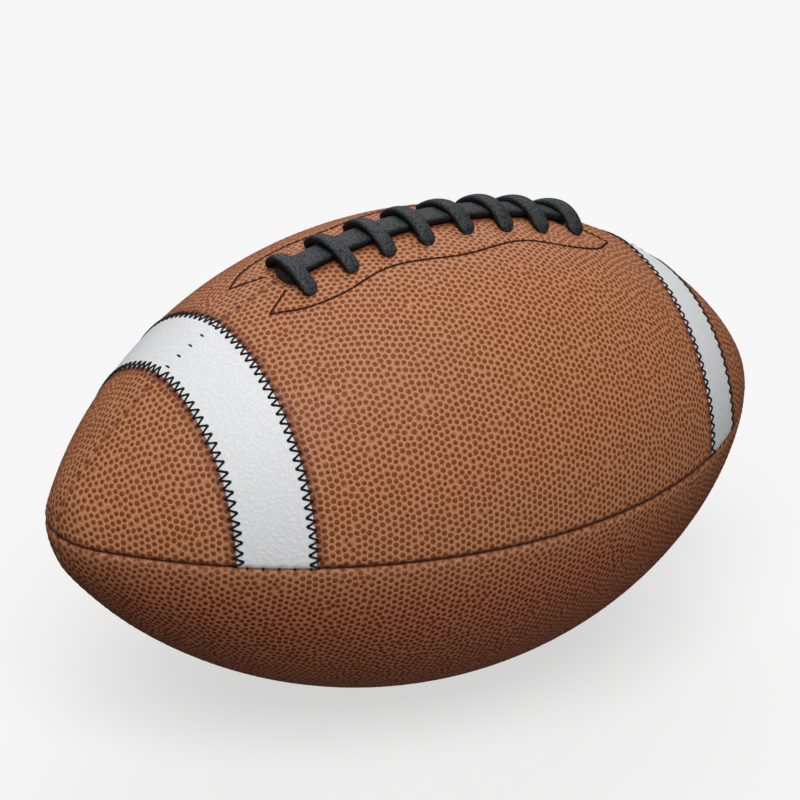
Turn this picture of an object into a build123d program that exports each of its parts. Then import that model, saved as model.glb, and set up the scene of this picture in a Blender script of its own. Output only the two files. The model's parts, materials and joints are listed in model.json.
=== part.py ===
from build123d import *
import os
from math import asin, atan, cos, degrees, pi, sin, sqrt

# An american football lying on its bottom seam with its laces up, in millimetres.
# +X runs along the ball to the right nose, +Z is up through the lacing and -Y is the front side.

# Ball
LENGTH = 290.0
PANEL_RADIUS = 83.5
PANEL_AXIS_SHIFT = 4.5
NOSE_RADIUS = 26.0

# Panels and their turned-in seam flanges
PANEL_THICKNESS = 1.8
FLANGE_THICKNESS = 1.6
FLANGE_DEPTH = 4.3
SEAM_GAP = 0.1
SEAM_ROUND = 1.7

# Linings, facings and the clearance between layers
LINING_THICKNESS = 1.0
FACING_THICKNESS = 1.0
LAYER_CLEARANCE = 0.06

# Seam threads
STITCH_PITCH = 5.2
STITCH_DEPTH = 3.1
THREAD_RADIUS = 0.45
NEEDLE_CLEARANCE = 0.1
SEAM_THREAD_REACH = 135.0
LACE_OPENING_REACH = 72.0

# Stripes and their zigzag threads
STRIPE_INNER = 84.8
STRIPE_OUTER = 105.0
STRIPE_THICKNESS = 0.8
ZIGZAG_PITCH = 3.3
ZIGZAG_ON_STRIPE = 2.6
ZIGZAG_ON_PANEL = 0.7
ZIGZAG_RADIUS = 0.4
ZIGZAG_END_MARGIN = 2.2

# Lace and its holes
LACE_BAR_COUNT = 8
LACE_PITCH = 16.4
LACE_WIDTH = 6.4
LACE_THICKNESS = 2.8
LACE_EDGE_ROUND = 1.3
LACE_RISE = 6.1
LACE_HOLE_OFFSET = 13.2
LACE_BEND_RADIUS = 3.0
LACE_BEND_DROP = 2.2
LACE_UNDER_DEPTH = 7.3
LACE_CLEARANCE = 0.25
LACE_BEND_ROOM = 0.6

# Flat strap under the lace bars
STRAP_WIDTH = 11.0
STRAP_THICKNESS = 3.0
STRAP_CROWN = 0.9
STRAP_REACH = 56.0
STRAP_BEND_RADIUS = 2.8
STRAP_LEG = 4.2
STRAP_SEAT = 0.1

# Facing outline, from the middle of the lacing to its tip, and its stitch line
FACING_STITCH_REACH = 70.5
FACING_STITCH_WIDTH = 23.5
FACING_MARGIN = 2.5
FACING_LENGTH_SHARES = [0.0, 0.41, 0.69, 0.85, 1.0]
FACING_WIDTH_SHARES = [1.0, 0.86, 0.95, 0.83, 0.52]
FACING_RETURN_SHARES = (0.86, 0.27)
FACING_THREAD_WIDTH = 0.7
FACING_THREAD_DEPTH = 0.5

# Tongue that keeps the lace off the bladder
TONGUE_REACH = 74.0
TONGUE_WIDTH = 44.0
TONGUE_THICKNESS = 1.0
TONGUE_CLEARANCE = 0.2

# Bladder
BLADDER_WALL = 0.9
BLADDER_CLEARANCE = 0.25
BLADDER_NOSE_RADIUS = 21.5
BLADDER_DENT_RAMP = 20.0
BLADDER_DENT_LIFT = 9.0

# Valve in the middle of the back lace panel
VALVE_FLANGE_RADIUS = 11.0
VALVE_FLANGE_THICKNESS = 1.4
VALVE_NECK_RADIUS = 4.0
VALVE_BARREL_RADIUS = 5.2
VALVE_BARREL_LENGTH = 10.0
VALVE_RECESS = 0.5
VALVE_CORE_RADIUS = 2.7
VALVE_CORE_FOOT_RADIUS = 3.6
VALVE_CORE_FOOT_LENGTH = 1.6
VALVE_CLEARANCE = 0.08
NEEDLE_BORE_RADIUS = 1.1
NEEDLE_MOUTH_RADIUS = 1.9
NEEDLE_MOUTH_DEPTH = 0.5

half_length = LENGTH / 2
axis_offset = PANEL_AXIS_SHIFT / sqrt(2)
reach = LENGTH


def large_arc(half, radius, nose):
    """Radius of the arc from nose to nose that runs tangent into both nose arcs."""
    return ((half - nose) ** 2 + radius**2 - nose**2) / (2 * (radius - nose))


panel_arc = large_arc(half_length, PANEL_RADIUS, NOSE_RADIUS)
panel_arc_drop = panel_arc - PANEL_RADIUS


def spindle(half, radius, nose, depth=0, shift=0):
    """Ball shape turned about X, its profile moved in by depth and then out by shift."""
    arc = large_arc(half, radius, nose) - depth
    drop = arc + depth - radius
    tip_arc = nose - depth
    nose_x = half - nose
    lean = asin(nose_x / (arc - tip_arc))
    lean_middle = (lean + pi / 2) / 2
    join = (arc * sin(lean), arc * cos(lean) - drop + shift)
    middle = (nose_x + tip_arc * sin(lean_middle), tip_arc * cos(lean_middle) + shift)
    tip = (half - depth, shift)

    def left(point):
        return (-point[0], point[1])

    lines = [
        ThreePointArc(left(tip), left(middle), left(join)),
        ThreePointArc(left(join), (0, radius - depth + shift), join),
        ThreePointArc(join, middle, tip),
    ]
    if shift:
        lines.append(Polyline(tip, (tip[0], 0), (-tip[0], 0), left(tip)))
    else:
        lines.append(Line(tip, left(tip)))
    return revolve(make_face(lines), axis=Axis.X)


def panel_spindle(depth):
    """Body of the front lace panel's surface, depth inside the leather's face."""
    body = spindle(half_length, PANEL_RADIUS, NOSE_RADIUS, depth, PANEL_AXIS_SHIFT)
    return Pos(0, axis_offset, -axis_offset) * body


def quarter(inset):
    """Space of the front lace panel, inset from both of its seam planes."""
    block = Box(2 * reach, reach, reach, align=(Align.CENTER, Align.MAX, Align.MIN))
    return Pos(0, -inset, inset) * block


def span(x_from, x_to):
    """Everything between two places along the ball."""
    return Pos((x_from + x_to) / 2, 0, 0) * Box(x_to - x_from, 2 * reach, 2 * reach)


def layer(depth_from, depth_to, inset):
    """Sheet of the front lace panel between two depths, inset from the seams."""
    return (panel_spindle(depth_from) & quarter(inset)) - panel_spindle(depth_to)


def panel_point(lean, turn, depth):
    """Point of the front lace panel: lean along the ball, turn from the lace seam round to the front."""
    out = (panel_arc - depth) * cos(lean) - panel_arc_drop + PANEL_AXIS_SHIFT
    x = (panel_arc - depth) * sin(lean)
    return Vector(x, axis_offset - out * sin(turn), out * cos(turn) - axis_offset)


def seam_point(lean, depth):
    """Place along X and distance from the ball's axis of a point in a seam."""
    out = (panel_arc - depth) * cos(lean) - panel_arc_drop + PANEL_AXIS_SHIFT
    return (panel_arc - depth) * sin(lean), sqrt(out**2 - axis_offset**2) - axis_offset


def seam_height(x, depth=0):
    """Distance from the ball's axis to the seam at a place along X."""
    return seam_point(asin(x / (panel_arc - depth)), depth)[1]


def seam_slope(x):
    """Angle by which the lace seam falls away from level at a place along X."""
    out = sqrt(panel_arc**2 - x**2) - panel_arc_drop + PANEL_AXIS_SHIFT
    fall = x / sqrt(panel_arc**2 - x**2) * out / sqrt(out**2 - axis_offset**2)
    return atan(fall)


def lacing_plane(x):
    """Plane on the lace seam: X along the seam, Z out of the ball."""
    slope = seam_slope(x)
    along, out = (cos(slope), 0, -sin(slope)), (sin(slope), 0, cos(slope))
    return Plane((x, 0, seam_height(x)), x_dir=along, z_dir=out)


def rod(start, end, radius):
    """Straight round bar between two points."""
    along = end - start
    return Plane((start + end) / 2, z_dir=along) * Cylinder(radius, along.length)


def to_back(shape):
    """Copy for the back side of the ball."""
    return mirror(shape, about=Plane.XZ)


# Panels: rolled seam edges outside, flanges turned in along both seams
seam_face = SEAM_GAP / 2
flange_face = seam_face + FLANGE_THICKNESS
solid_quarter = panel_spindle(0) & quarter(seam_face)
seam_edges = [edge for edge in solid_quarter.edges() if edge.geom_type != GeomType.LINE]
seam_edges = [edge for edge in seam_edges if min(abs(edge.center().Y), abs(edge.center().Z)) < flange_face]
rolled_quarter = fillet(seam_edges, SEAM_ROUND)
panel_hollow = panel_spindle(PANEL_THICKNESS) & quarter(flange_face)
plain_panel = rolled_quarter - panel_hollow - panel_spindle(FLANGE_DEPTH)

# The lowest point of the rolled bottom seam stands at the origin
roll_center = seam_face + SEAM_ROUND + axis_offset
roll_reach = PANEL_RADIUS + PANEL_AXIS_SHIFT - SEAM_ROUND
axis_height = sqrt(roll_reach**2 - roll_center**2) - axis_offset + SEAM_ROUND

# Needle holes through the flanges, evenly spaced along the large arc
stitch_lean = STITCH_PITCH / panel_arc
stitch_total = int(asin(SEAM_THREAD_REACH / panel_arc) / stitch_lean)
stitch_leans = [step * stitch_lean for step in range(-stitch_total, stitch_total + 1)]
opening_lean = asin(LACE_OPENING_REACH / panel_arc)
lace_seam_leans = [lean for lean in stitch_leans if abs(lean) > opening_lean]
thread_half = flange_face + 2 * THREAD_RADIUS


def needle_holes(leans):
    """Holes square through both flanges of the lace seam."""
    holes = []
    for lean in leans:
        x, height = seam_point(lean, STITCH_DEPTH)
        holes.append(rod(Vector(x, -thread_half, height), Vector(x, thread_half, height), needle_radius))
    return holes


needle_radius = THREAD_RADIUS + NEEDLE_CLEARANCE
top_needle_holes = needle_holes(lace_seam_leans)
full_needle_holes = needle_holes(stitch_leans)
side_needle_holes = [Rot(X=90) * hole for hole in full_needle_holes]


def seam_thread(leans):
    """Two thread runs along the flanges of the lace seam and the cross stitches that lock them."""
    x_from = seam_point(leans[0], STITCH_DEPTH)[0] - 2 * THREAD_RADIUS
    x_to = seam_point(leans[-1], STITCH_DEPTH)[0] + 2 * THREAD_RADIUS
    channel = Box(2 * reach, 2 * thread_half, reach, align=(Align.CENTER, Align.CENTER, Align.MIN))
    run = layer(STITCH_DEPTH - THREAD_RADIUS, STITCH_DEPTH + THREAD_RADIUS, flange_face)
    run = run & (channel & span(x_from, x_to))
    solids = [*run.solids(), *to_back(run).solids()]
    for lean in leans:
        x, height = seam_point(lean, STITCH_DEPTH)
        solids.append(Pos(x, 0, height) * Rot(X=90) * Cylinder(THREAD_RADIUS, 2 * flange_face))
    return Compound(solids)


# Stripes set flush into the lace panels
stripe_shell = panel_spindle(-SEAM_ROUND) - panel_spindle(STRIPE_THICKNESS)
stripe_pocket = stripe_shell & span(STRIPE_INNER, STRIPE_OUTER)
stripe_inner_x = STRIPE_INNER + LAYER_CLEARANCE
stripe_outer_x = STRIPE_OUTER - LAYER_CLEARANCE
stripe_space = panel_spindle(-SEAM_ROUND) - panel_spindle(STRIPE_THICKNESS - LAYER_CLEARANCE)
stripe_right = rolled_quarter & (stripe_space & span(stripe_inner_x, stripe_outer_x))
stripe_left = mirror(stripe_right, about=Plane.YZ)
stripe_pockets = [stripe_pocket, mirror(stripe_pocket, about=Plane.YZ)]


def zigzag(edge_x, into_stripe):
    """Separate slanting stitches along one edge of the right stripe."""
    height = -ZIGZAG_RADIUS - LAYER_CLEARANCE
    on_stripe = asin((edge_x + into_stripe * ZIGZAG_ON_STRIPE) / panel_arc)
    on_panel = asin((edge_x - into_stripe * ZIGZAG_ON_PANEL) / panel_arc)
    out = panel_arc * cos(on_panel) - panel_arc_drop + PANEL_AXIS_SHIFT
    turn_from = asin(axis_offset / out) + ZIGZAG_END_MARGIN / out
    turn_to = pi / 2 - turn_from
    steps = 2 * round((turn_to - turn_from) * out / ZIGZAG_PITCH)
    points = []
    for step in range(steps + 1):
        turn = turn_from + (turn_to - turn_from) * step / steps
        points.append(panel_point(on_stripe if step % 2 else on_panel, turn, height))
    stitches = []
    for start, end in zip(points, points[1:]):
        cut_back = (end - start).normalized() * ZIGZAG_RADIUS
        stitches.append(rod(start + cut_back, end - cut_back, ZIGZAG_RADIUS))
    return stitches


zigzag_inner = Compound(zigzag(STRIPE_INNER, 1))
zigzag_outer = Compound(zigzag(STRIPE_OUTER, -1))

# Lace: arched bars that turn down through the holes, joined by slanting runs inside
bend_out = LACE_HOLE_OFFSET - LACE_BEND_RADIUS
bend_rise = LACE_RISE - LACE_THICKNESS / 2 - LACE_BEND_RADIUS + LACE_BEND_DROP
bar_arc = (bend_out**2 + bend_rise**2) / (2 * bend_rise) + LACE_BEND_RADIUS
bar_lean = asin(bend_out / (bar_arc - LACE_BEND_RADIUS))
leg_end = LACE_UNDER_DEPTH + LACE_THICKNESS / 2
bar_places = [(step - (LACE_BAR_COUNT - 1) / 2) * LACE_PITCH for step in range(LACE_BAR_COUNT)]


def bar_route():
    """Middle line of one bar, drawn with the ball's width along X and out of the ball along Y."""
    leg = Line((-LACE_HOLE_OFFSET, -leg_end), (-LACE_HOLE_OFFSET, -LACE_BEND_DROP))
    bend_turn = degrees(pi / 2 - bar_lean)
    up_bend = JernArc(leg @ 1, leg % 1, LACE_BEND_RADIUS, -bend_turn)
    arch = JernArc(up_bend @ 1, up_bend % 1, bar_arc, -2 * degrees(bar_lean))
    down_bend = JernArc(arch @ 1, arch % 1, LACE_BEND_RADIUS, -bend_turn)
    far_leg = Line(down_bend @ 1, (LACE_HOLE_OFFSET, -leg_end))
    return Wire([leg, up_bend, arch, down_bend, far_leg])


def lace_bar(x):
    """One bar of the lace at a place along X."""
    route = bar_route()
    section_plane = Plane(route @ 0, x_dir=(0, 0, 1), z_dir=route % 0)
    section = section_plane * RectangleRounded(LACE_WIDTH, LACE_THICKNESS, LACE_EDGE_ROUND)
    bar = sweep(section, path=route)
    place = lacing_plane(x)
    upright = Plane(place.origin, x_dir=(0, 1, 0), z_dir=place.x_dir)
    return upright * bar


def lace_hole(x):
    """Straight cutter of a bar's front hole, with room where the bar bends in over the hole's edge."""
    depth = LACE_THICKNESS + 2 * LACE_CLEARANCE + LACE_BEND_ROOM
    section = RectangleRounded(LACE_WIDTH + 2 * LACE_CLEARANCE, depth, LACE_EDGE_ROUND)
    column = extrude(section, leg_end + LACE_RISE)
    return lacing_plane(x) * Pos(0, LACE_BEND_ROOM / 2 - LACE_HOLE_OFFSET, -leg_end) * column


def lace_run(x_from, x_to):
    """Run inside the ball from the back hole of one bar to the front hole of the next."""
    plane = lacing_plane((x_from + x_to) / 2)

    def foot(x, side):
        leg_foot = lacing_plane(x).from_local_coords((0, side * LACE_HOLE_OFFSET, -leg_end))
        return plane.to_local_coords(leg_foot)

    start = foot(x_from, 1)
    along = foot(x_to, -1) - start
    middle = start + along / 2
    slot = SlotCenterToCenter(Vector(along.X, along.Y).length, LACE_WIDTH)
    turn = degrees(atan(along.Y / along.X))
    run = Pos(middle.X, middle.Y, -leg_end - LACE_THICKNESS / 2) * Rot(Z=turn) * extrude(slot, LACE_THICKNESS)
    return plane * run


lace_bars = [lace_bar(x) for x in bar_places]
lace_runs = [lace_run(x_from, x_to) for x_from, x_to in zip(bar_places, bar_places[1:])]
lace = lace_bars[0].fuse(*lace_bars[1:], *lace_runs)
lace_holes = [lace_hole(x) for x in bar_places]

# Strap along the seam under the bars, its two ends tucked in through the ends of the opening
strap_middle = STRAP_SEAT + STRAP_THICKNESS / 2


def strap_route():
    """Middle line of the strap, drawn with the ball's length along X and height along Y."""
    end = lacing_plane(STRAP_REACH).from_local_coords((0, 0, strap_middle))
    arch = ThreePointArc((-end.X, end.Z), (0, seam_height(0) + strap_middle), (end.X, end.Z))
    right_bend = JernArc(arch @ 1, arch % 1, STRAP_BEND_RADIUS, -90)
    right_leg = Line(right_bend @ 1, right_bend @ 1 + (right_bend % 1) * STRAP_LEG)
    foot, knee = right_leg @ 1, right_leg @ 0
    left_leg = Line((-foot.X, foot.Y), (-knee.X, knee.Y))
    left_bend = JernArc(left_leg @ 1, left_leg % 1, STRAP_BEND_RADIUS, -90)
    return Wire([left_leg, left_bend, arch, right_bend, right_leg])


def strap_body(clearance=0):
    """Crowned strap, or the cutter of the two openings that its ends pass through."""
    route = strap_route()
    half_width = STRAP_WIDTH / 2 + clearance
    top = STRAP_THICKNESS / 2 + clearance
    shoulder = top - STRAP_CROWN
    outline = make_face([
        Polyline((-half_width, shoulder), (-half_width, -top), (half_width, -top), (half_width, shoulder)),
        ThreePointArc((half_width, shoulder), (0, top), (-half_width, shoulder)),
    ])
    section_plane = Plane(route @ 0, x_dir=(0, 0, -1), z_dir=route % 0)
    return Plane.XZ * sweep(section_plane * outline, path=route)


lace_strap = strap_body()
strap_openings = strap_body(LACE_CLEARANCE)


# Lace panels with their lace holes, strap openings, stripe pockets and the groove of the facing stitch
def facing_curve(extra=0):
    """Wavy outer line of the facing in plan, moved out by extra."""
    half = FACING_STITCH_REACH + extra
    width = FACING_STITCH_WIDTH
    shares = zip(FACING_LENGTH_SHARES, FACING_WIDTH_SHARES)
    right = [(half * along, -width * out - extra) for along, out in shares]
    left = [(-x, y) for x, y in reversed(right[1:])]
    return Spline(*left, *right)


def facing_return(side, extra=0):
    """Short line from the facing's tip back to the strap opening."""
    half, width = FACING_STITCH_REACH + extra, FACING_STITCH_WIDTH
    tip = (side * half * FACING_LENGTH_SHARES[-1], -width * FACING_WIDTH_SHARES[-1] - extra)
    back = (side * FACING_STITCH_REACH * FACING_RETURN_SHARES[0], -width * FACING_RETURN_SHARES[1])
    return Line(tip, back)


def facing_stitch(extra=0):
    """Thread of the facing's stitch line, flush in the leather, or the groove that it lies in."""
    width = FACING_THREAD_WIDTH + 2 * extra
    shape = trace(facing_curve(), width)
    for side in (-1, 1):
        shape += trace(facing_return(side), width)
    column = extrude(shape, reach)
    return column & (panel_spindle(-extra) - panel_spindle(FACING_THREAD_DEPTH + extra))


def opened(sheet):
    """Sheet with the lace holes and the two strap openings cut through it."""
    return sheet - lace_holes - strap_openings


facing_thread_front = facing_stitch()
lace_panel_front = opened(plain_panel) - stripe_pockets - facing_stitch(LAYER_CLEARANCE)
lace_panel_front = lace_panel_front - [*top_needle_holes, *side_needle_holes]
bottom_panel = plain_panel - [*full_needle_holes, *side_needle_holes]

# Linings and facings on the inside of the panels
lining_from = PANEL_THICKNESS + LAYER_CLEARANCE
lining_to = lining_from + LINING_THICKNESS
lining_inset = thread_half + LAYER_CLEARANCE
plain_lining = layer(lining_from, lining_to, lining_inset)
lace_lining_front = opened(plain_lining)
facing_from = lining_to + LAYER_CLEARANCE
facing_to = facing_from + FACING_THICKNESS
facing_edge = facing_curve(FACING_MARGIN)
facing_plan = make_face([facing_edge, Polyline(facing_edge @ 1, ((facing_edge @ 1).X, -lining_inset),
                                               ((facing_edge @ 0).X, -lining_inset), facing_edge @ 0)])
facing_front = opened(layer(facing_from, facing_to, lining_inset) & extrude(facing_plan, reach))

# Tongue below the lace runs
tongue_top = leg_end + LACE_THICKNESS / 2 + TONGUE_CLEARANCE
tongue_bottom = tongue_top + TONGUE_THICKNESS


def seam_arc(x, depth):
    """Line under the lace seam, drawn with the ball's length along X and height along Y."""
    end = lacing_plane(x).from_local_coords((0, 0, -depth))
    return ThreePointArc((-end.X, end.Z), (0, seam_height(0) - depth), (end.X, end.Z))


tongue_upper, tongue_lower = seam_arc(TONGUE_REACH, tongue_top), seam_arc(TONGUE_REACH, tongue_bottom)
tongue_ends = [Line(tongue_upper @ end, tongue_lower @ end) for end in (0, 1)]
tongue_side = Plane.XZ * make_face([tongue_upper, tongue_lower, *tongue_ends])
tongue = extrude(tongue_side, TONGUE_WIDTH / 2, both=True)

# Bladder, pressed in under the tongue
bladder_radius = PANEL_RADIUS - lining_to - BLADDER_CLEARANCE
bladder_half = half_length - FLANGE_DEPTH - BLADDER_CLEARANCE


def dent(depth):
    """Space that the lacing takes from the bladder."""
    floor = seam_arc(TONGUE_REACH, depth)
    left, right = floor @ 0, floor @ 1
    ramp_x, ramp_y = BLADDER_DENT_RAMP, BLADDER_DENT_LIFT
    rim = Polyline(right, (right.X + ramp_x, right.Y + ramp_y), (right.X + ramp_x, reach),
                   (left.X - ramp_x, reach), (left.X - ramp_x, left.Y + ramp_y), left)
    return extrude(Plane.XZ * make_face([floor, rim]), reach, both=True)


def bladder_body(depth):
    """Solid bladder, its wall depth taken off all round."""
    body = spindle(bladder_half, bladder_radius, BLADDER_NOSE_RADIUS, depth)
    return body - dent(tongue_bottom + TONGUE_CLEARANCE + depth)


# Valve through the back lace panel
valve_plane = Plane((0, PANEL_RADIUS / sqrt(2), PANEL_RADIUS / sqrt(2)), x_dir=(1, 0, 0), z_dir=(0, 1, 1))
bladder_depth = PANEL_RADIUS - bladder_radius
valve_seat = bladder_depth + BLADDER_WALL + LAYER_CLEARANCE
barrel_end = valve_seat + VALVE_BARREL_LENGTH


def post(radius, depth_from, depth_to):
    """Round post on the valve's axis between two depths below the panel's face."""
    post_solid = Cylinder(radius, depth_to - depth_from, align=(Align.CENTER, Align.CENTER, Align.MAX))
    return valve_plane * Pos(0, 0, -depth_from) * post_solid


valve_hole = post(VALVE_NECK_RADIUS + VALVE_CLEARANCE, -VALVE_RECESS, barrel_end)
bladder = bladder_body(0) - bladder_body(BLADDER_WALL) - valve_hole
valve_sheet = spindle(bladder_half, bladder_radius, BLADDER_NOSE_RADIUS, BLADDER_WALL + LAYER_CLEARANCE)
valve_sheet = valve_sheet & post(VALVE_FLANGE_RADIUS, 0, valve_seat + VALVE_FLANGE_THICKNESS)
valve_body = valve_sheet + post(VALVE_NECK_RADIUS, VALVE_RECESS, barrel_end)
valve_body = valve_body + post(VALVE_BARREL_RADIUS, valve_seat + VALVE_FLANGE_THICKNESS / 2, barrel_end)
valve_body = valve_body - post(VALVE_CORE_RADIUS + VALVE_CLEARANCE, 0, barrel_end)
core_end = barrel_end + VALVE_CLEARANCE + VALVE_CORE_FOOT_LENGTH
valve_core = post(VALVE_CORE_RADIUS, 2 * VALVE_RECESS, core_end)
valve_core = valve_core + post(VALVE_CORE_FOOT_RADIUS, core_end - VALVE_CORE_FOOT_LENGTH, core_end)
valve_core = valve_core - post(NEEDLE_BORE_RADIUS, 0, core_end)
from_top = (Align.CENTER, Align.CENTER, Align.MAX)
mouth = Cone(NEEDLE_BORE_RADIUS, NEEDLE_MOUTH_RADIUS, NEEDLE_MOUTH_DEPTH, align=from_top)
valve_core = valve_core - valve_plane * Pos(0, 0, -2 * VALVE_RECESS) * mouth

# Right hand and left hand, front and back pieces
nodes = {
    "lace_panel_front": lace_panel_front,
    "lace_panel_back": to_back(lace_panel_front) - valve_hole,
    "bottom_panel_front": Rot(X=90) * bottom_panel,
    "bottom_panel_back": Rot(X=180) * bottom_panel,
    "lace_lining_front": lace_lining_front,
    "lace_lining_back": to_back(lace_lining_front) - valve_hole,
    "bottom_lining_front": Rot(X=90) * plain_lining,
    "bottom_lining_back": Rot(X=180) * plain_lining,
    "lace_facing_front": facing_front,
    "lace_facing_back": to_back(facing_front),
    "facing_thread_front": facing_thread_front,
    "facing_thread_back": to_back(facing_thread_front),
    "lace": lace,
    "lace_strap": lace_strap,
    "lace_tongue": tongue,
    "bladder": bladder,
    "valve_body": valve_body,
    "valve_core": valve_core,
    "seam_thread_lace_left": seam_thread([lean for lean in lace_seam_leans if lean < 0]),
    "seam_thread_lace_right": seam_thread([lean for lean in lace_seam_leans if lean > 0]),
    "seam_thread_front": Rot(X=90) * seam_thread(stitch_leans),
    "seam_thread_bottom": Rot(X=180) * seam_thread(stitch_leans),
    "seam_thread_back": Rot(X=-90) * seam_thread(stitch_leans),
}
stripes = {"right": (stripe_right, zigzag_inner, zigzag_outer)}
stripes["left"] = [mirror(shape, about=Plane.YZ) for shape in stripes["right"]]
for end, (stripe, inner_thread, outer_thread) in stripes.items():
    nodes[f"stripe_front_{end}"] = stripe
    nodes[f"stripe_back_{end}"] = to_back(stripe)
    nodes[f"stripe_thread_front_{end}_inner"] = inner_thread
    nodes[f"stripe_thread_front_{end}_outer"] = outer_thread
    nodes[f"stripe_thread_back_{end}_inner"] = to_back(inner_thread)
    nodes[f"stripe_thread_back_{end}_outer"] = to_back(outer_thread)

os.makedirs("parts", exist_ok=True)
for name, shape in nodes.items():
    export_step(Pos(0, 0, axis_height) * shape, f"parts/{name}.step")
print("axis height", round(axis_height, 3), "bar arc", round(bar_arc, 2), "panel arc", round(panel_arc, 2))
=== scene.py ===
import json
import math

import bpy
import numpy as np
from mathutils import Matrix, Vector
from mathutils.geometry import delaunay_2d_cdt
from mathutils.kdtree import KDTree


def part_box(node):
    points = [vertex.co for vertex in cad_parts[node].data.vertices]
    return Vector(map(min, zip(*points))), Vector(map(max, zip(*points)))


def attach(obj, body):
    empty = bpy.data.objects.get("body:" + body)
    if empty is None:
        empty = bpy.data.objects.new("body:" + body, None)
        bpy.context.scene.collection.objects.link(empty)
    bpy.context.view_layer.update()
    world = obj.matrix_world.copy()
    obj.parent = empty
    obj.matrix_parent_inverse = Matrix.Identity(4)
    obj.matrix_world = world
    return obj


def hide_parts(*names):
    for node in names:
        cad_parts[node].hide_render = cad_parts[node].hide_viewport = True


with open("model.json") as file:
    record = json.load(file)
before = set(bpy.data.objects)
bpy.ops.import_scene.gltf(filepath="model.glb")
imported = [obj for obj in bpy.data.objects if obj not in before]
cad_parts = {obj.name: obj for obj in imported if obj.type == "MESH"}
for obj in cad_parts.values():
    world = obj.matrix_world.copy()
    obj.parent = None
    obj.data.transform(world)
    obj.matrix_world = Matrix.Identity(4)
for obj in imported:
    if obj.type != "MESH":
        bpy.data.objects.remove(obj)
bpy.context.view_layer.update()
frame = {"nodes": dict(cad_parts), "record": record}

# Sizes in millimetres, about the middle of the ball, as in the solids.
MM = 0.001
HALF_LENGTH = 145.0
PANEL_RADIUS = 83.5
AXIS_SHIFT = 4.5
NOSE_RADIUS = 26.0
AXIS_HEIGHT = (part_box("lace_panel_front")[0][2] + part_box("bottom_panel_front")[1][2]) / 2 / MM

# Seams: how the leather rolls in, where the painted shade along them is fainter, and the pull of the
# stitches
SEAM_ROLL = 2.2
LACE_SEAM_ROLL = 1.1
SEAM_WALL = 0.6
SEAM_WALL_DEPTH = 0.8
SEAM_DEPTH_SHARE = 0.6
STRIPE_SEAM_SHARE = 0.3
LACE_SEAM_FAINT = 1.9
BOTTOM_SEAM_FAINT = 1.4
# Reach of the painted shade in the seam grooves
SEAM_SHADE_FROM, SEAM_SHADE_TO = 0.3, 2.6
SEAM_TIGHT = 0.04
STITCH_PITCH = 5.2
PUCKER_DEPTH = 0.3
PUCKER_REACH = 1.7
PIT_SHARPNESS = 3

# Pebbled leather: pebbles and their spread, then the reach of the painted shade marks, of the wear with its
# painted highlight beside the seams, and of the painted shade low on the ball
PEBBLE_PITCH = 2.45
PEBBLE_JITTER = 0.2
PEBBLE_HEIGHT = 0.16
PEBBLE_VALLEY = 0.10
PEBBLE_HEIGHT_SHARES = (0.8, 1.15)
PEBBLE_RING = 0.58
PEBBLE_RING_HEIGHT_SHARE = 0.72
PEBBLE_SEAM_MARGIN = 0.35
PEBBLE_END_MARGIN = 0.8
PEBBLE_ROW_START_SHARE = 0.12
PEBBLE_STAGGER_SHARE = 0.5
PEBBLE_ROUNDS = 4
PEBBLE_NEIGHBOURS = 7
PEBBLE_PUSH_SHARE = 0.3
PEBBLE_LEAST_GAP = 0.05
PEBBLE_FAR_OFFSET = (9.0, 0.0, 0.0)
LONGEST_SIDE_SHARE = 3.2
MERIDIAN_STEPS = 4000
SAME_POINT = 1e-7
TIP_MARGIN = 0.5
PIT_REACH = 1.7
WEAR_AND_HIGHLIGHT_REACH = 2.0
# Reach of the painted shade low on the ball
SHADED_LOW_REACH = 20.0
STRIPE_EDGE_SHADE = 1.0
STRIPE_EDGE_SHADE_DARK = 0.7
NEEDLE_HOLE_REACH = 1.4
NEEDLE_HOLE_SHIFT = 0.6
STRAP_SHADE = 2.0
STRAP_SHADE_DARK = 0.85
EDGE_STEP = 1.3
SEAM_ROWS = (0.05, -SEAM_WALL)

# Stripes, by side of the ball, and their zigzag threads
STRIPE_EDGES = {-1: (83.4, 105.6), 1: (85.0, 106.0)}
STRIPE_RAISE = 0.12
STRIPE_EDGE_SHARES = [0.0, 0.012, 0.03, 0.97, 0.988, 1.0]
STRIPE_EDGE_LIFTS = [-0.5, 0.35, 1.0, 1.0, 0.35, -0.5]
STRIPE_ROWS = 34
STRIPE_COLUMNS = 120
STRIPE_SEAM_STEPS = [-SEAM_WALL, 0.05, 0.2, 0.45, 0.8, 1.3]
STRIPE_SEAM_MARGIN = 1.9
THREAD_SIDES = 7
ZIGZAG_PITCH = 3.3
ZIGZAG_JITTER = 0.12
ZIGZAG_ON_STRIPE = 2.05
ZIGZAG_ON_PANEL = 0.7
ZIGZAG_RADIUS = 0.38
ZIGZAG_SHARES = np.array([0.0, 0.12, 0.35, 0.65, 0.88, 1.0])
ZIGZAG_LIFTS = np.array([-0.35, 0.06, 0.20, 0.20, 0.06, -0.35])
ZIGZAG_SWELL = np.array([1.3, 1.25, 1.0, 1.0, 1.25, 1.3])
ZIGZAG_END = 0.5

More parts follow.
